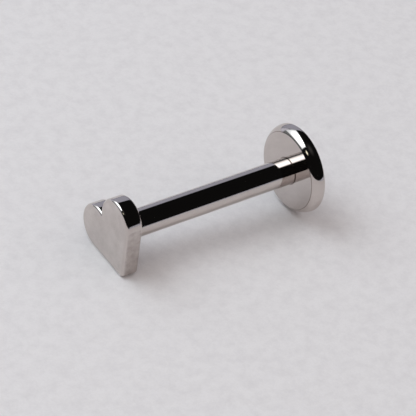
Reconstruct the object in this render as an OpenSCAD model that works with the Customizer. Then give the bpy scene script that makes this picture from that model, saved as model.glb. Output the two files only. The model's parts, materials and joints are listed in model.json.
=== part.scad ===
// Labret stud with a heart top: a flat heart plate, a hidden pin and a plain post with a round
// flat disc on its other end. It lies as it does by itself, on one straight flank of the heart
// and on the rim of the disc. Millimetres, +Z up, +X along the post towards the disc, with the
// origin on the resting surface under the middle of the stud.

/* [Heart plate] */
// Width of the heart across both lobes
heart_w = 3.8; // [3.4:0.1:4.0]
// Height of the heart from its lobes to its tip
heart_h = 3.3; // [3.2:0.05:3.6]
// Distance from the axis of the post to the tip
tip_reach = 1.92; // [1.84:0.01:2.1]
// Radius of each lobe
lobe_r = 1.02; // [1.0:0.01:1.2]
// Radius of the tip
tip_r = 0.2; // [0.15:0.05:0.4]
// Thickness of the plate
heart_t = 0.8; // [0.7:0.05:1.2]
// Radius that rounds the edges of the plate
heart_edge_r = 0.1; // [0.05:0.01:0.14]

/* [Post] */
// Diameter of the post
post_d = 1.2; // [1.0:0.05:1.6]
// Length of the post between the heart and the disc
post_len = 8.4; // [6:0.1:14]
// Radius that rounds the open end of the post
post_end_r = 0.03; // [0.02:0.01:0.08]

/* [Disc] */
// Diameter of the disc
disc_d = 4.0; // [3.4:0.1:5]
// Thickness of the disc
disc_t = 0.6; // [0.55:0.05:1.2]
// Radius that rounds the edges of the disc
disc_edge_r = 0.25; // [0.05:0.01:0.27]

/* [Hidden pin] */
// Diameter of the pin
pin_d = 0.6; // [0.5:0.05:0.7]
// Length of the pin inside the post
pin_in_post = 2.8; // [1.5:0.1:5]
// Length of the pin inside the heart plate
pin_in_heart = 0.4; // [0.25:0.05:0.55]

/* [Gaps] */
// Gap between the back of the heart and the open end of the post
seat_gap = 0.02; // [0.01:0.01:0.05]
// Gap around the pin, all the way round
pin_gap = 0.02; // [0.01:0.01:0.05]
// Gap past each end of the pin
pin_end_gap = 0.05; // [0.02:0.01:0.2]

/* [Hidden] */
$fn = 96;

// Places of the heart's circles in its own plane, seen from the back with the tip down
lobe_x = heart_w / 2 - lobe_r;
lobe_y = heart_h - tip_reach - lobe_r;
tip_y = tip_r - tip_reach;

// Straight flanks that touch a lobe and the tip: half the angle between them, and their length
lobe_to_tip = norm([lobe_x, lobe_y - tip_y]);
flank_angle = atan2(lobe_x, lobe_y - tip_y) + asin((lobe_r - tip_r) / lobe_to_tip);
flank_len = sqrt(lobe_to_tip ^ 2 - (lobe_r - tip_r) ^ 2);
flank_reach = tip_r - tip_y * sin(flank_angle);
// Depth of the bars that carry the flanks, and how far the core stays inside the outline
flank_bar = tip_r;
core_inset = (heart_edge_r + tip_r) / 2;

// Places along the post, measured from the front face of the heart
post_x = heart_t + seat_gap;
disc_x = post_x + post_len;
end_x = disc_x + disc_t;

// Rest: the floor touches the front edge of the flank and the near edge of the disc
contact_run = disc_x + disc_edge_r - heart_edge_r;
contact_drop = (disc_d / 2 - disc_edge_r) - (flank_reach - heart_edge_r);
tilt = atan2(contact_drop, contact_run)
    + asin((disc_edge_r - heart_edge_r) / norm([contact_run, contact_drop]));
roll = flank_angle - 90;

// Reach of the resting stud to each side, which centres it over the origin
top_lobe_z = lobe_x * cos(flank_angle) + lobe_y * sin(flank_angle);
heart_top_z = top_lobe_z + lobe_r;
min_x = heart_edge_r * (cos(tilt) + sin(tilt) - 1) - heart_top_z * sin(tilt);
max_x = (end_x - disc_edge_r) * cos(tilt) + (disc_d / 2 - disc_edge_r) * sin(tilt) + disc_edge_r;
low_lobe_y = lobe_x * sin(flank_angle) + lobe_y * cos(flank_angle);
max_y = max(disc_d / 2, low_lobe_y + lobe_r);
min_y = min(-disc_d / 2, tip_y * cos(flank_angle) - tip_r);
rest_z = heart_edge_r - heart_edge_r * sin(tilt) + (flank_reach - heart_edge_r) * cos(tilt);

// A plate's half section: width from the axis or the inner side, with its outer corners rounded
module edge_section(width, thickness, edge_r) {
    square([width - edge_r, thickness]);
    translate([0, edge_r]) square([width, thickness - 2 * edge_r]);
    for (y = [edge_r, thickness - edge_r])
        translate([width - edge_r, y]) circle(r = edge_r);
}

// A round plate with rounded edges, standing on the plane of the heart's front face
module round_plate(radius, thickness, edge_r) {
    rotate_extrude() edge_section(radius, thickness, edge_r);
}

// A straight bar with a rounded outer edge, along one flank of the heart
module flank() {
    translate([0, tip_y, 0]) rotate([0, 0, -flank_angle])
        translate([tip_r - flank_bar, flank_len, 0]) rotate([90, 0, 0])
            linear_extrude(flank_len) edge_section(flank_bar, heart_t, heart_edge_r);
}

// A point of the core, inside the outline beside one of the heart's circles
function core_point(x, y, radius) =
    [x + (radius - core_inset) * cos(flank_angle), y - (radius - core_inset) * sin(flank_angle)];

// The full-thickness middle of the heart, on one side of its centre line
module half_core() {
    linear_extrude(heart_t)
        polygon([[0, lobe_y], [0, tip_y], core_point(0, tip_y, tip_r),
            core_point(lobe_x, lobe_y, lobe_r), [lobe_x, lobe_y]]);
}

// The heart in its own plane, its front face on z = 0
module heart_plate() {
    translate([0, tip_y, 0]) round_plate(tip_r, heart_t, heart_edge_r);
    for (side = [0, 1]) mirror([side, 0, 0]) {
        translate([lobe_x, lobe_y, 0]) round_plate(lobe_r, heart_t, heart_edge_r);
        flank();
        half_core();
    }
}

// Lays what is built upright on the post's axis down as the stud rests
module at_rest() {
    translate([-(min_x + max_x) / 2, -(min_y + max_y) / 2, rest_z])
        rotate([0, -tilt, 0]) rotate([roll, 0, 0]) rotate([90, 0, 90]) children();
}

// Heart plate with a blind socket in its back for the pin
module heart_top() {
    socket_depth = pin_in_heart + pin_end_gap;
    color("silver") at_rest() difference() {
        heart_plate();
        translate([0, 0, heart_t - socket_depth])
            cylinder(d = pin_d + 2 * pin_gap, h = socket_depth + 1);
    }
}

// Plain pin that holds the heart on the post, hidden in both
module top_pin() {
    color("darkgray") at_rest()
        translate([0, 0, heart_t - pin_in_heart])
            cylinder(d = pin_d, h = pin_in_heart + seat_gap + pin_in_post);
}

// Post and disc in one piece, with a blind bore in the post's open end
module labret_back() {
    bore_depth = pin_in_post + pin_end_gap;
    color("lightgray") at_rest() difference() {
        union() {
            translate([0, 0, post_x]) rotate_extrude() {
                square([post_d / 2 - post_end_r, post_len + disc_t / 2]);
                translate([0, post_end_r]) square([post_d / 2, post_len + disc_t / 2 - post_end_r]);
                translate([post_d / 2 - post_end_r, post_end_r]) circle(r = post_end_r);
            }
            translate([0, 0, disc_x]) round_plate(disc_d / 2, disc_t, disc_edge_r);
        }
        translate([0, 0, post_x - 1]) cylinder(d = pin_d + 2 * pin_gap, h = bore_depth + 1);
    }
}

heart_top();
top_pin();
labret_back();
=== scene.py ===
"""A labret stud with a heart top, lying on a pale surface in soft studio light.

Each part of the stud is a class that holds its sizes in millimetres and has methods that build its
mesh and dress it. Meshes are built upright on the line of the post, with the heart's front face on
z = 0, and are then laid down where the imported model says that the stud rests.
"""

import json
import logging
from dataclasses import dataclass, field
from enum import Enum, IntEnum
from math import asin, atan2, cos, hypot, pi, radians, sin, sqrt

import bmesh
import bpy
from mathutils import Matrix, Vector


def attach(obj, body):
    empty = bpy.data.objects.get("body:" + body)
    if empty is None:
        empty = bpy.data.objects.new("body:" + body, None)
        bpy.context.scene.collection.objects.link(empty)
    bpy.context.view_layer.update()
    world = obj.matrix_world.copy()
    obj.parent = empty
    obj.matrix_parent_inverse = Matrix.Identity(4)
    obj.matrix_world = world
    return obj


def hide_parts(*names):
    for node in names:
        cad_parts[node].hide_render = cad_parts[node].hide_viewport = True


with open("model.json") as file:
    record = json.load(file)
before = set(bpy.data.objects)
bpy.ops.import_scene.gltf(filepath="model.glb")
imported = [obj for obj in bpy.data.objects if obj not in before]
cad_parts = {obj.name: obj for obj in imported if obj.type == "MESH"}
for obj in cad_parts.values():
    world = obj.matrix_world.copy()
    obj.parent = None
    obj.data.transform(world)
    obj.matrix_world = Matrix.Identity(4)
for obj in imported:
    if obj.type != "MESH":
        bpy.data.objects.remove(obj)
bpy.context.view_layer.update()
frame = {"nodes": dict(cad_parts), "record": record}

LOG = logging.getLogger("labret_stud")
MM = 0.001
FULL_TURN = 2 * pi
# Places this close together, in millimetres, are the same place
SAME_PLACE_MM = 1e-4
# A unit normal's part along the post's line, from which a face counts as square to it
SQUARE_ON = 0.999
PHOTO_WIDTH_PX = 416


def linear(hex_colour: str) -> tuple[float, float, float, float]:
    """Turns an sRGB hex colour into linear red, green, blue and alpha.

    Args:
        hex_colour: six hex digits after a number sign.

    Returns:
        Four numbers from 0 to 1, the last of them 1.
    """
    channels = [int(hex_colour[i:i + 2], 16) / 255 for i in (1, 3, 5)]
    r, g, b = (c / 12.92 if c <= 0.04045 else ((c + 0.055) / 1.055) ** 2.4 for c in channels)
    return (r, g, b, 1.0)


def add_node(tree: bpy.types.NodeTree, kind: str, settings: dict | None = None,
             values: dict | None = None, links: dict | None = None) -> bpy.types.Node:
    """Adds one node with its settings, its sockets' values and its incoming links.

    Args:
        tree: the node tree that gets the node.
        kind: the node's type name.
        settings: properties of the node itself, by name.
        values: constant values of its input sockets, by socket name or number.
        links: output sockets that feed its input sockets, by socket name or number.

    Returns:
        The new node.
    """
    node = tree.nodes.new(kind)
    for name, value in (settings or {}).items():
        setattr(node, name, value)
    for name, value in (values or {}).items():
        node.inputs[name].default_value = value
    for name, source in (links or {}).items():
        tree.links.new(source, node.inputs[name])
    return node


def smooth_range(tree: bpy.types.NodeTree, value: bpy.types.NodeSocket, source: tuple[float, float],
                 target: tuple[float, float]) -> bpy.types.NodeSocket:
    """Takes a value from one range to another, easing in and out at the ends.

    Args:
        tree: the node tree.
        value: the output socket that gives the value.
        source: the start and end of its own range.
        target: what the start and the end become.

    Returns:
        The output socket with the new value.
    """
    return add_node(tree, "ShaderNodeMapRange", settings={"interpolation_type": "SMOOTHSTEP"}, values={
        "From Min": source[0], "From Max": source[1], "To Min": target[0], "To Max": target[1]},
        links={"Value": value}).outputs["Result"]


def pattern_scale(size_mm: float) -> float:
    """Gives the texture scale at which one feature of a pattern is size_mm across."""
    return 1 / (size_mm * MM)


def empty_material(name: str) -> tuple[bpy.types.Material, bpy.types.NodeTree]:
    """Makes a material with an empty node tree.

    Args:
        name: the material's plain name.

    Returns:
        The material and its node tree.
    """
    material = bpy.data.materials.new(name)
    material.use_nodes = True
    material.node_tree.nodes.clear()
    return material, material.node_tree


def finished_object(name: str, bm: bmesh.types.BMesh, placing: Matrix) -> bpy.types.Object:
    """Turns a bmesh into an object whose place is in its mesh.

    Args:
        name: the piece's name.
        bm: the shape, which is freed here.
        placing: what takes the shape from its own frame and unit to the scene's metres.

    Returns:
        The object, at the origin and unturned.
    """
    bmesh.ops.transform(bm, matrix=placing, verts=bm.verts)
    bmesh.ops.recalc_face_normals(bm, faces=bm.faces)
    mesh = bpy.data.meshes.new(name)
    bm.to_mesh(mesh)
    bm.free()
    mesh.shade_smooth()
    piece = bpy.data.objects.new(name, mesh)
    bpy.context.scene.collection.objects.link(piece)
    return piece


def keep_flats_flat(piece: bpy.types.Object, crease_deg: float) -> None:
    """Shades a piece so that flats stay flat and only its real creases stay sharp.

    Args:
        piece: the object to shade.
        crease_deg: the angle between two faces above which their edge is a crease.
    """
    piece.data.set_sharp_from_angle(angle=radians(crease_deg))
    weighted = piece.modifiers.new("weighted_normals", "WEIGHTED_NORMAL")
    weighted.mode = "FACE_AREA"
    # The largest weight lets a flat's own direction win over the rounding beside it
    weighted.weight = 100
    weighted.keep_sharp = True


def flat_face(bm: bmesh.types.BMesh, z: float) -> bmesh.types.BMFace:
    """Finds the largest face that lies flat at the height z.

    Args:
        bm: the shape.
        z: the height, in millimetres.

    Returns:
        The face.
    """
    level = [f for f in bm.faces if all(abs(v.co.z - z) < SAME_PLACE_MM for v in f.verts)]
    return max(level, key=lambda f: f.calc_area())


def edges_at(bm: bmesh.types.BMesh, radius: float, z: float) -> list[bmesh.types.BMEdge]:
    """Finds the edges of one circle around the line of the post.

    Args:
        bm: the shape, spun around z.
        radius: the circle's radius, in millimetres.
        z: its height, in millimetres.

    Returns:
        The circle's edges.
    """
    def on_circle(v: bmesh.types.BMVert) -> bool:
        """Says whether a vertex lies on the circle."""
        same_radius = abs(hypot(v.co.x, v.co.y) - radius) < SAME_PLACE_MM
        return same_radius and abs(v.co.z - z) < SAME_PLACE_MM

    return [e for e in bm.edges if on_circle(e.verts[0]) and on_circle(e.verts[1])]


class Polish(Enum):
    """How far a steel surface has been polished: lowest and highest roughness."""

    MIRROR = (0.035, 0.075)
    RUBBED = (0.10, 0.17)
    SATIN = (0.22, 0.30)


@dataclass(frozen=True)
class PolishedSteel:
    """Surgical steel, tumbled and then buffed to a mirror, rubbed on fine grit or left satin.

    The eye sees a slightly warm silver that copies its surroundings, softened by fine polishing
    marks and by the faint film that fingers leave, which is the stain colour where it is thickest.
    """

    name: str = "polished_surgical_steel"
    colour: str = "#D3CBC7"
    stain: str = "#C4BBB6"
    polish: Polish = Polish.MIRROR
    film_mm: float = 1.1
    film_share: tuple[float, float] = (0.3, 0.7)
    mark_mm: float = 0.05
    mark_depth_mm: float = 0.00002

    def material(self) -> bpy.types.Material:
        """Builds the material.

        Returns:
            The node material, which reads Object coordinates.
        """
        material, tree = empty_material(self.name)
        place = add_node(tree, "ShaderNodeTexCoord").outputs["Object"]
        film = add_node(tree, "ShaderNodeTexNoise", values={
            "Scale": pattern_scale(self.film_mm), "Detail": 4.0, "Roughness": 0.6},
            links={"Vector": place})
        # Real buffing marks are a few micrometres apart, so they are drawn as coarse as 0.05 mm
        marks = add_node(tree, "ShaderNodeTexNoise", values={
            "Scale": pattern_scale(self.mark_mm), "Detail": 2.0}, links={"Vector": place})
        (thin, thick), (low, high) = self.film_share, self.polish.value
        rough = add_node(tree, "ShaderNodeMapRange", values={
            "From Min": thin, "From Max": thick, "To Min": low, "To Max": high},
            links={"Value": film.outputs["Fac"]})
        colour = add_node(tree, "ShaderNodeMix", settings={"data_type": "RGBA"}, values={
            6: linear(self.colour), 7: linear(self.stain)}, links={0: film.outputs["Fac"]})
        bump = add_node(tree, "ShaderNodeBump", values={
            "Strength": 1.0, "Distance": self.mark_depth_mm * MM},
            links={"Height": marks.outputs["Fac"]})
        shader = add_node(tree, "ShaderNodeBsdfPrincipled", values={"Metallic": 1.0}, links={
            "Base Color": colour.outputs[2], "Roughness": rough.outputs["Result"],
            "Normal": bump.outputs["Normal"]})
        add_node(tree, "ShaderNodeOutputMaterial", links={"Surface": shader.outputs["BSDF"]})
        return material


@dataclass(frozen=True)
class DrawnWire:
    """Steel wire, drawn through a die, which leaves it dull with fine lines along its length."""

    name: str = "drawn_steel_wire"
    colour: str = "#BDB9B6"
    line_mm: float = 0.03
    line_depth_mm: float = 0.001
    line_stretch: float = 0.04
    roughness: float = 0.32

    def material(self, along: Vector) -> bpy.types.Material:
        """Builds the material.

        Args:
            along: the direction in which the wire was drawn.

        Returns:
            The node material, which reads Object coordinates.
        """
        material, tree = empty_material(self.name)
        place = add_node(tree, "ShaderNodeTexCoord").outputs["Object"]
        turned = add_node(tree, "ShaderNodeMapping", values={
            "Rotation": along.to_track_quat("X", "Z").inverted().to_euler(),
            "Scale": (self.line_stretch, 1.0, 1.0)}, links={"Vector": place})
        # Die lines are finer than this, and are drawn 0.03 mm apart so that they show
        lines = add_node(tree, "ShaderNodeTexNoise", values={
            "Scale": pattern_scale(self.line_mm), "Detail": 3.0},
            links={"Vector": turned.outputs["Vector"]})
        bump = add_node(tree, "ShaderNodeBump", values={
            "Strength": 0.5, "Distance": self.line_depth_mm * MM},
            links={"Height": lines.outputs["Fac"]})
        shader = add_node(tree, "ShaderNodeBsdfPrincipled", values={
            "Metallic": 1.0, "Base Color": linear(self.colour), "Roughness": self.roughness},
            links={"Normal": bump.outputs["Normal"]})
        add_node(tree, "ShaderNodeOutputMaterial", links={"Surface": shader.outputs["BSDF"]})
        return material


@dataclass(frozen=True)
class MattBoard:
    """Pale coated board, calendered: flat and matt, with a fine even grain and faint clouds."""

    name: str = "pale_matt_board"
    colour: str = "#EEEBEC"
    speck: str = "#E4E0E0"
    cloud: str = "#DEDADB"
    cloud_mm: float = 0.6
    cloud_share: tuple[float, float] = (0.42, 0.75)
    grain_mm: float = 0.09
    grain_depth_mm: float = 0.004
    roughness: float = 0.7

    def material(self) -> bpy.types.Material:
        """Builds the material.

        Returns:
            The node material, which reads Object coordinates.
        """
        material, tree = empty_material(self.name)
        place = add_node(tree, "ShaderNodeTexCoord").outputs["Object"]
        # The coating's own grain is finer, and is drawn as coarse as 0.09 mm so that it shows
        grain = add_node(tree, "ShaderNodeTexNoise", values={
            "Scale": pattern_scale(self.grain_mm), "Detail": 3.0, "Roughness": 0.6},
            links={"Vector": place})
        grained = add_node(tree, "ShaderNodeMix", settings={"data_type": "RGBA"}, values={
            6: linear(self.colour), 7: linear(self.speck)}, links={0: grain.outputs["Fac"]})
        # The coating lies a little thicker in some places than in others, in soft clouds
        clouds = add_node(tree, "ShaderNodeTexNoise", values={
            "Scale": pattern_scale(self.cloud_mm), "Detail": 6.0, "Roughness": 0.72},
            links={"Vector": place})
        thin, thick = self.cloud_share
        share = add_node(tree, "ShaderNodeMapRange", values={"From Min": thin, "From Max": thick},
                         links={"Value": clouds.outputs["Fac"]})
        colour = add_node(tree, "ShaderNodeMix", settings={"data_type": "RGBA"}, values={
            7: linear(self.cloud)}, links={0: share.outputs["Result"], 6: grained.outputs[2]})
        bump = add_node(tree, "ShaderNodeBump", values={
            "Strength": 0.6, "Distance": self.grain_depth_mm * MM},
            links={"Height": grain.outputs["Fac"]})
        shader = add_node(tree, "ShaderNodeBsdfPrincipled", values={"Roughness": self.roughness},
                          links={"Base Color": colour.outputs[2], "Normal": bump.outputs["Normal"]})
        add_node(tree, "ShaderNodeOutputMaterial", links={"Surface": shader.outputs["BSDF"]})
        return material


class HeartSurface(IntEnum):
    """The surfaces of the heart, in the order of its material slots."""

    SIDES = 0
    FRONT = 1
    FLANKS = 2


@dataclass
class HeartTop:
    """The flat heart plate, with a blind socket in its back for the pin. Millimetres."""

    width: float = 3.8
    height: float = 3.3
    tip_reach: float = 1.92
    lobe_r: float = 1.02
    tip_r: float = 0.2
    thickness: float = 0.8
    edge_r: float = 0.15
    edge_steps: int = 12
    socket_d: float = 0.64
    socket_depth: float = 0.45
    socket_steps: int = 64
    lobe_steps: int = 96
    tip_steps: int = 16
    crease_deg: float = 40.0
    # A flank's normal points at least this far towards the tip, and less than this far along the post
    flank_toward_tip: float = 0.6
    flank_along_post: float = 0.5
    polished: PolishedSteel = PolishedSteel(name="polished_steel_heart_sides")
    # Rubbed flat on fine grit, which spreads what it mirrors into soft grey patches
    rubbed: PolishedSteel = PolishedSteel(
        name="rubbed_steel_heart_face", colour="#DFD8D4", stain="#B9B0AB", polish=Polish.RUBBED,
        film_mm=0.6)
    # Scuffed by handling, which leaves dull spots and small dents along both flanks
    worn: PolishedSteel = PolishedSteel(
        name="worn_steel_heart_flanks", colour="#DAD2CE", stain="#9C928D", polish=Polish.RUBBED,
        film_mm=0.35, mark_mm=0.09, mark_depth_mm=0.003)

    @property
    def lobe_centre(self) -> Vector:
        """The middle of the right lobe, in the heart's own plane."""
        return Vector((self.width / 2 - self.lobe_r, self.height - self.tip_reach - self.lobe_r, 0))

    @property
    def tip_centre(self) -> Vector:
        """The middle of the rounded tip, in the heart's own plane."""
        return Vector((0, self.tip_r - self.tip_reach, 0))

    @property
    def flank_angle(self) -> float:
        """The angle in radians between a straight flank and the heart's centre line."""
        run = self.lobe_centre - self.tip_centre
        return atan2(run.x, run.y) + asin((self.lobe_r - self.tip_r) / run.length)

    def half_outline(self, bm: bmesh.types.BMesh) -> None:
        """Draws the right half of the outline, from the notch over the lobe to the tip.

        Args:
            bm: the empty shape that gets the edges.
        """
        lobe, tip = self.lobe_centre, self.tip_centre
        notch = Vector((0, lobe.y + sqrt(self.lobe_r ** 2 - lobe.x ** 2), 0))
        outward = Vector((cos(self.flank_angle), -sin(self.flank_angle), 0))
        start = bm.verts.new(notch)
        sweep = atan2(notch.y - lobe.y, -lobe.x) + self.flank_angle
        spun = bmesh.ops.spin(bm, geom=[start], cent=lobe, axis=(0, 0, 1), angle=-sweep,
                              steps=self.lobe_steps, use_merge=False, use_duplicate=False)
        last = next(g for g in spun["geom_last"] if isinstance(g, bmesh.types.BMVert))
        foot = bmesh.ops.extrude_vert_indiv(bm, verts=[last])["verts"][0]
        foot.co = tip + outward * self.tip_r
        bmesh.ops.spin(bm, geom=[foot], cent=tip, axis=(0, 0, 1), angle=self.flank_angle - pi / 2,
                       steps=self.tip_steps, use_merge=False, use_duplicate=False)

    def plate(self) -> bmesh.types.BMesh:
        """Builds the plate with rounded edges, still without its socket.

        Returns:
            The shape, front face on z = 0.
        """
        bm = bmesh.new()
        self.half_outline(bm)
        bmesh.ops.mirror(bm, geom=bm.verts[:] + bm.edges[:], matrix=Matrix.Identity(4),
                         merge_dist=SAME_PLACE_MM, axis="X")
        bmesh.ops.remove_doubles(bm, verts=bm.verts, dist=SAME_PLACE_MM)
        front = bmesh.ops.edgeloop_fill(bm, edges=bm.edges)["faces"]
        back = bmesh.ops.extrude_face_region(bm, geom=front)["geom"]
        bmesh.ops.translate(bm, vec=(0, 0, self.thickness),
                            verts=[g for g in back if isinstance(g, bmesh.types.BMVert)])
        bmesh.ops.recalc_face_normals(bm, faces=bm.faces)
        rims = [e for e in bm.edges if abs(e.verts[0].co.z - e.verts[1].co.z) < SAME_PLACE_MM]
        bmesh.ops.bevel(bm, geom=rims, offset=self.edge_r, offset_type="OFFSET", segments=self.edge_steps,
                        profile=0.5, affect="EDGES", clamp_overlap=False, material=-1)
        return bm

    def cut_socket(self, bm: bmesh.types.BMesh) -> None:
        """Opens the blind socket in the back face.

        Args:
            bm: the plate.
        """
        face = flat_face(bm, self.thickness)
        rim = list(face.edges)
        bmesh.ops.delete(bm, geom=[face], context="FACES_ONLY")
        ring = bmesh.ops.create_circle(bm, cap_ends=False, radius=self.socket_d / 2,
                                       segments=self.socket_steps,
                                       matrix=Matrix.Translation((0, 0, self.thickness)))["verts"]
        mouth = list({e for v in ring for e in v.link_edges})
        bmesh.ops.triangle_fill(bm, use_beauty=True, use_dissolve=False, edges=rim + mouth)
        wall = bmesh.ops.extrude_edge_only(bm, edges=mouth)["geom"]
        floor_verts = [g for g in wall if isinstance(g, bmesh.types.BMVert)]
        bmesh.ops.translate(bm, vec=(0, 0, -self.socket_depth), verts=floor_verts)
        bmesh.ops.edgeloop_fill(bm, edges=[g for g in wall if isinstance(g, bmesh.types.BMEdge)
                                           and g.is_boundary])

    def sort_surfaces(self, bm: bmesh.types.BMesh) -> None:
        """Gives each face the material slot of its surface; the sides keep the first.

        Args:
            bm: the plate.
        """
        flat_face(bm, 0).material_index = HeartSurface.FRONT
        for face in bm.faces:
            toward_tip = -face.normal.y > self.flank_toward_tip
            if toward_tip and abs(face.normal.z) < self.flank_along_post:
                face.material_index = HeartSurface.FLANKS

    def build(self, placing: Matrix) -> bpy.types.Object:
        """Builds and dresses the heart.

        Args:
            placing: where the stud rests.

        Returns:
            The finished piece.
        """
        bm = self.plate()
        self.sort_surfaces(bm)
        self.cut_socket(bm)
        piece = finished_object("heart_plate", bm, placing)
        for finish in (self.polished, self.rubbed, self.worn):
            piece.data.materials.append(finish.material())
        keep_flats_flat(piece, self.crease_deg)
        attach(piece, "root")
        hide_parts("heart_top")
        return piece


class BackSurface(IntEnum):
    """The surfaces of the post and disc, in the order of their material slots."""

    TURNED = 0
    DISC_FACE = 1
    CORNERS = 2


@dataclass
class LabretBack:
    """The post and the disc in one piece, with a blind bore in the open end. Millimetres."""

    # The post starts behind the heart's thickness and a gap of 0.02 mm
    start: float = 0.82
    post_d: float = 1.2
    post_len: float = 8.4
    post_end_r: float = 0.03
    disc_d: float = 4.0
    disc_t: float = 0.6
    rim_w: float = 0.25
    rim_r: float = 0.62
    outer_edge_r: float = 0.10
    bore_d: float = 0.64
    bore_depth: float = 2.85
    spin_steps: int = 192
    edge_steps: int = 16
    post_end_steps: int = 4
    crease_deg: float = 15.0
    # How wide the thin dark lines are that a darker, duller finish draws in the corner and along the
    # crease
    corner_w: float = 0.04
    crease_depth: float = 0.02
    polished: PolishedSteel = PolishedSteel(name="polished_steel_back")
    # Behind the post the wheel hardly reaches the disc, which keeps a soft silvery sheen
    satin: PolishedSteel = PolishedSteel(name="satin_steel_disc_face", polish=Polish.SATIN)
    # A darker, duller finish that draws a thin dark line in the corner at the post's foot and along the
    # crease
    dull: PolishedSteel = PolishedSteel(
        name="dull_steel_in_corner", colour="#A89E99", stain="#857B76", polish=Polish.RUBBED,
        film_mm=0.3)

    @property
    def disc_z(self) -> float:
        """The distance from the heart's front face to the disc's inner face."""
        return self.start + self.post_len

    @property
    def end(self) -> float:
        """The distance from the heart's front face to the disc's outer face."""
        return self.disc_z + self.disc_t

    def half_section(self, bm: bmesh.types.BMesh) -> None:
        """Draws the half section with sharp corners, from the bore's bottom to the outer face.

        Args:
            bm: the empty shape that gets the edges.
        """
        disc_z, disc_r = self.disc_z, self.disc_d / 2
        post_r, bore_r, bore_z = self.post_d / 2, self.bore_d / 2, self.start + self.bore_depth
        inner = [(0, bore_z), (bore_r, bore_z), (bore_r, self.start), (post_r, self.start),
                 (post_r, disc_z - self.corner_w), (post_r, disc_z), (post_r + self.corner_w, disc_z),
                 (disc_r - self.rim_w, disc_z)]
        verts = [bm.verts.new((x, 0, z)) for x, z in inner]
        for near, far in zip(verts, verts[1:]):
            bm.edges.new((near, far))
        # The rim's rounding meets the disc's inner face in a crease and ends upright
        crease = asin(1 - self.rim_w / self.rim_r)
        rim_centre = (disc_r - self.rim_r, 0, disc_z + self.rim_r * cos(crease))
        spun = bmesh.ops.spin(bm, geom=[verts[-1]], cent=rim_centre, axis=(0, 1, 0),
                              angle=crease - pi / 2, steps=self.edge_steps, use_merge=False,
                              use_duplicate=False)
        last = next(g for g in spun["geom_last"] if isinstance(g, bmesh.types.BMVert))
        corner, middle = bm.verts.new((disc_r, 0, self.end)), bm.verts.new((0, 0, self.end))
        bm.edges.new((last, corner))
        bm.edges.new((corner, middle))

    def round_off(self, bm: bmesh.types.BMesh, radius: float, z: float, edge_r: float,
                  steps: int) -> None:
        """Rounds one circular edge.

        Args:
            bm: the spun shape.
            radius: the edge's radius around the post's line.
            z: its place along that line.
            edge_r: the radius that rounds it.
            steps: how many facets the rounding has.
        """
        bmesh.ops.bevel(bm, geom=edges_at(bm, radius, z), offset=edge_r, offset_type="OFFSET",
                        segments=steps, profile=0.5, affect="EDGES", clamp_overlap=False, material=-1)

    def sort_surfaces(self, bm: bmesh.types.BMesh) -> None:
        """Gives each face the material slot of its surface; what was turned keeps the first.

        Args:
            bm: the spun shape.
        """
        face_top = self.disc_z + SAME_PLACE_MM
        for face in bm.faces:
            middle = face.calc_center_median()
            beside_post = hypot(middle.x, middle.y) < self.post_d / 2 + self.corner_w
            in_corner = beside_post and self.disc_z - self.corner_w < middle.z < face_top
            in_crease = face_top < middle.z < self.disc_z + self.crease_depth
            if in_corner or in_crease:
                face.material_index = BackSurface.CORNERS
            elif -face.normal.z > SQUARE_ON and abs(middle.z - self.disc_z) < SAME_PLACE_MM:
                face.material_index = BackSurface.DISC_FACE

    def build(self, placing: Matrix) -> bpy.types.Object:
        """Builds and dresses the back.

        Args:
            placing: where the stud rests.

        Returns:
            The finished piece.
        """
        bm = bmesh.new()
        self.half_section(bm)
        bmesh.ops.spin(bm, geom=bm.verts[:] + bm.edges[:], cent=(0, 0, 0), axis=(0, 0, 1),
                       angle=FULL_TURN, steps=self.spin_steps, use_merge=True, use_duplicate=False)
        bmesh.ops.remove_doubles(bm, verts=bm.verts, dist=SAME_PLACE_MM)
        self.round_off(bm, self.post_d / 2, self.start, self.post_end_r, self.post_end_steps)
        self.round_off(bm, self.disc_d / 2, self.end, self.outer_edge_r, self.edge_steps)
        self.sort_surfaces(bm)
        piece = finished_object("post_and_disc", bm, placing)
        for finish in (self.polished, self.satin, self.dull):
            piece.data.materials.append(finish.material())
        keep_flats_flat(piece, self.crease_deg)
        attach(piece, "root")
        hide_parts("labret_back")
        return piece


@dataclass
class TopPin:
    """The plain pin that holds the heart on the post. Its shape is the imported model's own."""

    wire: DrawnWire = DrawnWire()

    def dress(self, along: Vector) -> bpy.types.Object:
        """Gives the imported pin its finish.

        Args:
            along: the direction of the post.

        Returns:
            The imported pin.
        """
        pin = frame["nodes"]["top_pin"]
        for slot in pin.material_slots:
            slot.material = self.wire.material(along)
        return pin


@dataclass
class Stud:
    """The whole stud: its parts, and the line on which they lie."""

    heart: HeartTop = field(default_factory=HeartTop)
    back: LabretBack = field(default_factory=LabretBack)
    pin: TopPin = field(default_factory=TopPin)

    def along(self) -> Vector:
        """The direction from the heart to the disc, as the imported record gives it."""
        return Vector(self.disc_mount()["axis"]).normalized()

    def disc_mount(self) -> dict:
        """The record's mount on the disc's outer face."""
        return next(m for m in frame["record"]["mounts"] if m["name"] == "disc_face")

    def placing(self) -> Matrix:
        """Works out where the stud rests.

        Returns:
            The matrix from upright millimetres to the resting place in metres.
        """
        along = self.along()
        front = Vector(self.disc_mount()["pos_m"]) - along * self.back.end * MM
        lean = Matrix.Rotation(-asin(along.z), 4, "Y")
        roll = Matrix.Rotation(self.heart.flank_angle - pi / 2, 4, "X")
        # Upright z becomes x, along the post; the heart's width becomes y and its height z
        lying = Matrix(((0, 0, 1, 0), (1, 0, 0, 0), (0, 1, 0, 0), (0, 0, 0, 1)))
        return Matrix.Translation(front) @ lean @ roll @ lying @ Matrix.Scale(MM, 4)

    def build(self) -> list[bpy.types.Object]:
        """Builds every part in order.

        Returns:
            The finished pieces.
        """
        placing = self.placing()
        return [self.heart.build(placing), self.pin.dress(self.along()), self.back.build(placing)]


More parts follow.
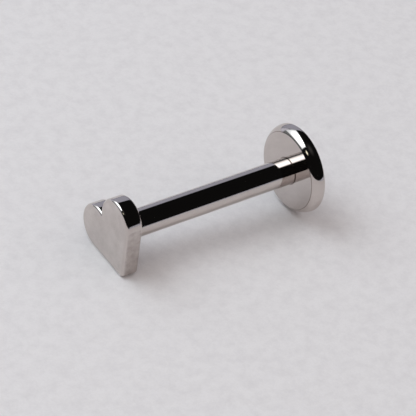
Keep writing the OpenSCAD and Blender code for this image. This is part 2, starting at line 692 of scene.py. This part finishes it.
@dataclass(frozen=True)
class GlowingCloth:
    """White diffusion cloth with a lamp behind it: brightest before the lamp, dimmer at its foot.

    The steel mirrors it as white bands with soft ends. Places on the cloth are shares of its width
    and height, from its lower left corner.
    """

    name: str = "lit_diffusion_cloth"
    colour: str = "#F6F9FF"
    strength: float = 1.5
    hot_spot: tuple[float, float] = (0.5, 0.5)
    hot_spot_gain: float = 0.0
    hot_spot_reach: float = 0.45
    foot: tuple[float, float] = (0.0, 0.4)
    foot_share: float = 1.0
    hem: float = 0.04

    def fade(self, tree: bpy.types.NodeTree, share: bpy.types.NodeSocket) -> bpy.types.NodeSocket:
        """Fades the cloth out towards both hems in one direction.

        Args:
            tree: the material's node tree.
            share: the place across the cloth, from 0 to 1.

        Returns:
            A brightness from 0 at the hems to 1.
        """
        left = add_node(tree, "ShaderNodeMath", settings={"operation": "SUBTRACT"}, values={0: 1.0},
                        links={1: share})
        inside = add_node(tree, "ShaderNodeMath", settings={"operation": "MULTIPLY"},
                          links={0: share, 1: left.outputs[0]})
        return smooth_range(tree, inside.outputs[0], (0.0, self.hem * (1 - self.hem)), (0.0, 1.0))

    def material(self) -> bpy.types.Material:
        """Builds the material.

        Returns:
            The node material, which reads the cloth's own UV map.
        """
        material, tree = empty_material(self.name)
        place = add_node(tree, "ShaderNodeTexCoord").outputs["UV"]
        across = add_node(tree, "ShaderNodeSeparateXYZ", links={0: place})
        apart = add_node(tree, "ShaderNodeVectorMath", settings={"operation": "DISTANCE"},
                         values={1: (*self.hot_spot, 0.0)}, links={0: place})
        strength = smooth_range(tree, apart.outputs["Value"], (0.0, self.hot_spot_reach),
                                (self.strength + self.hot_spot_gain, self.strength))
        foot = smooth_range(tree, across.outputs["Y"], self.foot, (self.foot_share, 1.0))
        for share in (foot, self.fade(tree, across.outputs["X"]), self.fade(tree, across.outputs["Y"])):
            strength = add_node(tree, "ShaderNodeMath", settings={"operation": "MULTIPLY"},
                                links={0: strength, 1: share}).outputs[0]
        light = add_node(tree, "ShaderNodeEmission", values={"Color": linear(self.colour)},
                         links={"Strength": strength})
        add_node(tree, "ShaderNodeOutputMaterial", links={"Surface": light.outputs["Emission"]})
        return material


@dataclass(frozen=True)
class StudioPaper:
    """A roll of matt paper around the set that glows with painted light: bright on two sides, dim
    between.

    Each pair in shares is a place across the roll and how brightly the paper glows there. Place 1
    is the side that bright_toward points to, beside the main light, and place 0 the side opposite.
    """

    name: str = "studio_paper_painted_glow"
    colour: str = "#E9EDFC"
    bright_toward: tuple[float, float, float] = (-0.259, 0.966, 0.0)
    shares: tuple[tuple[float, float], ...] = (
        (0.0, 0.6), (0.04, 0.5), (0.125, 0.08), (0.37, 0.1), (0.63, 0.2), (0.85, 0.5), (1.0, 0.85))

    def material(self, radius: float) -> bpy.types.Material:
        """Builds the material.

        Args:
            radius: the radius of the roll, in metres.

        Returns:
            The node material, which reads Object coordinates.
        """
        material, tree = empty_material(self.name)
        place = add_node(tree, "ShaderNodeTexCoord").outputs["Object"]
        toward = add_node(tree, "ShaderNodeVectorMath", settings={"operation": "DOT_PRODUCT"},
                          values={1: self.bright_toward}, links={0: place})
        share = add_node(tree, "ShaderNodeMapRange", values={"From Min": -radius, "From Max": radius},
                         links={"Value": toward.outputs["Value"]})
        ramp = add_node(tree, "ShaderNodeValToRGB", links={"Fac": share.outputs["Result"]})
        # A new ramp has its first and last stop, at 0 and 1
        stops = ramp.color_ramp.elements
        for position, _ in self.shares[1:-1]:
            stops.new(position)
        for stop, (_, level) in zip(stops, self.shares):
            stop.color = (level, level, level, 1.0)
        # Painted light: the paper glows by itself, in the brightness that the ramp gives
        light = add_node(tree, "ShaderNodeEmission", values={"Color": linear(self.colour)},
                         links={"Strength": ramp.outputs["Color"]})
        add_node(tree, "ShaderNodeOutputMaterial", links={"Surface": light.outputs["Emission"]})
        return material


@dataclass(frozen=True)
class BlackCloth:
    """A black sheet that glows faintly, more in one spot: a painted reflection, which the steel mirrors
    as not quite black.
    """

    name: str = "black_cloth_canopy"
    black: float = 0.006
    bright_spot_glow: float = 0.055
    bright_spot_place: tuple[float, float, float] = (-0.08, -0.12, 0.58)
    bright_spot_reach: float = 0.22

    def material(self) -> bpy.types.Material:
        """Builds the material.

        Returns:
            The node material, which reads Object coordinates.
        """
        material, tree = empty_material(self.name)
        place = add_node(tree, "ShaderNodeTexCoord").outputs["Object"]
        apart = add_node(tree, "ShaderNodeVectorMath", settings={"operation": "DISTANCE"},
                         values={1: self.bright_spot_place}, links={0: place})
        # Painted reflection: a brighter glowing spot that fades out to the faint glow of the rest
        level = smooth_range(tree, apart.outputs["Value"], (0.0, self.bright_spot_reach),
                             (self.bright_spot_glow, self.black))
        light = add_node(tree, "ShaderNodeEmission", links={"Strength": level})
        add_node(tree, "ShaderNodeOutputMaterial", links={"Surface": light.outputs["Emission"]})
        return material


@dataclass
class SoftPanel:
    """A flat soft light that faces the stud.

    It is placed by the compass angle and height, in degrees, at which the stud sees it. Its reach to
    each side of that direction, across and upward, is a share of its distance away. Metres.
    """

    name: str
    azimuth: float
    height: float
    across: tuple[float, float]
    upward: tuple[float, float]
    cloth: GlowingCloth
    turn_deg: float = 0.0
    away: float = 0.28
    lowest: float = 0.004

    def build(self) -> bpy.types.Object:
        """Builds the panel, cut off where it would come down to the board.

        Returns:
            The panel, which lights the set but isn't seen by the camera itself.
        """
        az, up = radians(self.azimuth), radians(self.height)
        facing = Vector((cos(az) * cos(up), sin(az) * cos(up), sin(up)))
        right = facing.cross(Vector((0, 0, 1))).normalized()
        turn = Matrix((right, right.cross(facing), -facing)).transposed().to_4x4()
        (left, right_end), (low, high) = self.across, self.upward
        bm = bmesh.new()
        bm.loops.layers.uv.new("cloth")
        # A square of side 1, which the next two steps stretch and shift to the panel's reach
        bmesh.ops.create_grid(bm, x_segments=1, y_segments=1, size=0.5, calc_uvs=True)
        bmesh.ops.scale(bm, vec=(right_end - left, high - low, 1), verts=bm.verts)
        bmesh.ops.translate(bm, vec=((left + right_end) / 2, (low + high) / 2, 0), verts=bm.verts)
        placing = (turn @ Matrix.Translation((0, 0, -self.away))
                   @ Matrix.Rotation(radians(self.turn_deg), 4, "Z") @ Matrix.Scale(self.away, 4))
        bmesh.ops.transform(bm, matrix=placing, verts=bm.verts)
        bmesh.ops.bisect_plane(bm, geom=bm.verts[:] + bm.edges[:] + bm.faces[:],
                               plane_co=(0, 0, self.lowest), plane_no=(0, 0, 1), clear_inner=True)
        panel = finished_object(self.name, bm, Matrix.Identity(4))
        panel.data.materials.append(self.cloth.material())
        panel.visible_camera = False
        return panel


@dataclass
class Studio:
    """A pale board under a black canopy, a low roll of paper around it and three soft lights. Metres.

    The roll's upper edge lies in a plane: paper_mid is its height over the board's middle as a share
    of the roll's radius, and paper_slope is how far it rises per metre along X and Y.
    """

    board_r: float = 0.42
    # The board lies this far under the stud, so that the two never share a plane
    board_drop: float = 0.000002
    paper_r: float = 0.40
    paper_mid: float = 0.235
    paper_slope: tuple[float, float] = (0.1125, 0.195)
    canopy_r: float = 0.6
    circle_steps: int = 96
    room: str = "#FFF8F6"
    room_light: float = 0.615
    board: MattBoard = MattBoard()
    paper: StudioPaper = StudioPaper()
    canopy: BlackCloth = BlackCloth()
    panels: tuple[SoftPanel, ...] = (
        SoftPanel(name="main_light", azimuth=127.9, height=36.9, turn_deg=-22.25,
                  across=(-0.71, 0.55), upward=(-0.62, 0.49),
                  cloth=GlowingCloth(name="lit_cloth_main", colour="#EFF9FF", strength=1.25,
                                     hot_spot=(0.42, 0.80), hot_spot_gain=3.6, hot_spot_reach=0.6,
                                     foot=(0.33, 0.41), foot_share=0.2, hem=0.03)),
        SoftPanel(name="back_light", azimuth=66, height=12, away=0.34,
                  across=(-0.50, 0.36), upward=(-0.20, 0.56),
                  cloth=GlowingCloth(name="lit_cloth_back", colour="#E7ECFF", strength=0.52,
                                     hem=0.06)),
        SoftPanel(name="small_lamp", azimuth=193, height=46, across=(-0.10, 0.10),
                  upward=(-0.10, 0.10),
                  cloth=GlowingCloth(name="lit_cloth_lamp", colour="#FFFFE8", strength=1.6,
                                     hem=0.3)))

    def add_board(self) -> bpy.types.Object:
        """Lays the round board that everything stands on.

        Returns:
            The board.
        """
        bm = bmesh.new()
        bmesh.ops.create_circle(bm, cap_ends=True, radius=self.board_r, segments=self.circle_steps)
        piece = finished_object("board", bm, Matrix.Translation((0, 0, -self.board_drop)))
        piece.data.materials.append(self.board.material())
        return piece

    def add_paper(self) -> bpy.types.Object:
        """Stands a low roll of paper around the board, higher behind the stud than in front.

        Returns:
            The roll.
        """
        bm = bmesh.new()
        ring = bmesh.ops.create_circle(bm, cap_ends=False, radius=self.paper_r,
                                       segments=self.circle_steps)["verts"]
        edges = list({e for v in ring for e in v.link_edges})
        top = bmesh.ops.extrude_edge_only(bm, edges=edges)["geom"]
        bmesh.ops.translate(bm, vec=(0, 0, self.paper_r),
                            verts=[g for g in top if isinstance(g, bmesh.types.BMVert)])
        bmesh.ops.bisect_plane(bm, geom=bm.verts[:] + bm.edges[:] + bm.faces[:],
                               plane_co=(0, 0, self.paper_mid * self.paper_r),
                               plane_no=(-self.paper_slope[0], -self.paper_slope[1], 1), clear_outer=True)
        piece = finished_object("paper_roll", bm, Matrix.Identity(4))
        piece.data.materials.append(self.paper.material(self.paper_r))
        piece.visible_camera = False
        return piece

    def add_canopy(self) -> bpy.types.Object:
        """Hangs the black canopy over the set.

        Returns:
            The canopy, which only mirrored rays see.
        """
        bm = bmesh.new()
        bmesh.ops.create_icosphere(bm, subdivisions=4, radius=self.canopy_r)
        piece = finished_object("black_canopy", bm, Matrix.Identity(4))
        piece.data.materials.append(self.canopy.material())
        piece.visible_camera = piece.visible_diffuse = piece.visible_shadow = False
        return piece

    def light_room(self) -> None:
        """Fills the room with soft light from all sides, which the polished steel doesn't mirror."""
        world = bpy.data.worlds.new("pale_room")
        world.use_nodes = True
        background = world.node_tree.nodes["Background"]
        background.inputs["Color"].default_value = linear(self.room)
        background.inputs["Strength"].default_value = self.room_light
        world.cycles_visibility.glossy = False
        bpy.context.scene.world = world

    def build(self) -> None:
        """Builds the whole set, lights the room and sets the view transform to Standard."""
        panels = [panel.build() for panel in self.panels]
        for piece in [self.add_board(), self.add_paper(), self.add_canopy(), *panels]:
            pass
        self.light_room()
        bpy.context.scene.view_settings.view_transform = "Standard"


@dataclass
class PhotoCamera:
    """The camera, at the angle to the stud from which it was photographed. Metres and degrees.

    An azimuth of 0 looks along +Y, and a focal length in pixels is that of the photo's frame.
    """

    aim: tuple[float, float, float] = (0.001243, 0.001030, 0.0)
    away: float = 0.112049
    azimuth: float = -42.52
    elevation: float = 38.94
    roll: float = 13.486
    focal_px: float = 2588.41
    sensor_mm: float = 36.0
    clip: tuple[float, float] = (0.005, 5.0)

    def build(self) -> bpy.types.Object:
        """Adds the camera and makes it the scene's.

        Returns:
            The camera.
        """
        az, el, roll = radians(self.azimuth), radians(self.elevation), radians(self.roll)
        back = Vector((sin(az) * cos(el), -cos(az) * cos(el), sin(el)))
        level_right = Vector((cos(az), sin(az), 0))
        level_up = back.cross(level_right)
        right = level_right * cos(roll) + level_up * sin(roll)
        up = back.cross(right)
        turn = Matrix((right, up, back)).transposed().to_4x4()
        lens = bpy.data.cameras.new("photo_camera")
        lens.sensor_width = self.sensor_mm
        lens.lens = self.focal_px / PHOTO_WIDTH_PX * self.sensor_mm
        lens.clip_start, lens.clip_end = self.clip
        camera = bpy.data.objects.new("photo_camera", lens)
        camera.matrix_world = Matrix.Translation(Vector(self.aim) + back * self.away) @ turn
        bpy.context.scene.collection.objects.link(camera)
        bpy.context.scene.camera = camera
        return camera


def main() -> None:
    """Builds the camera, the studio and the stud, and reports each piece."""
    logging.basicConfig(level=logging.INFO, format="%(message)s")
    PhotoCamera().build()
    Studio().build()
    for piece in Stud().build():
        LOG.info("%s: %d faces", piece.name, len(piece.data.polygons))


if __name__ == "__main__":
    main()
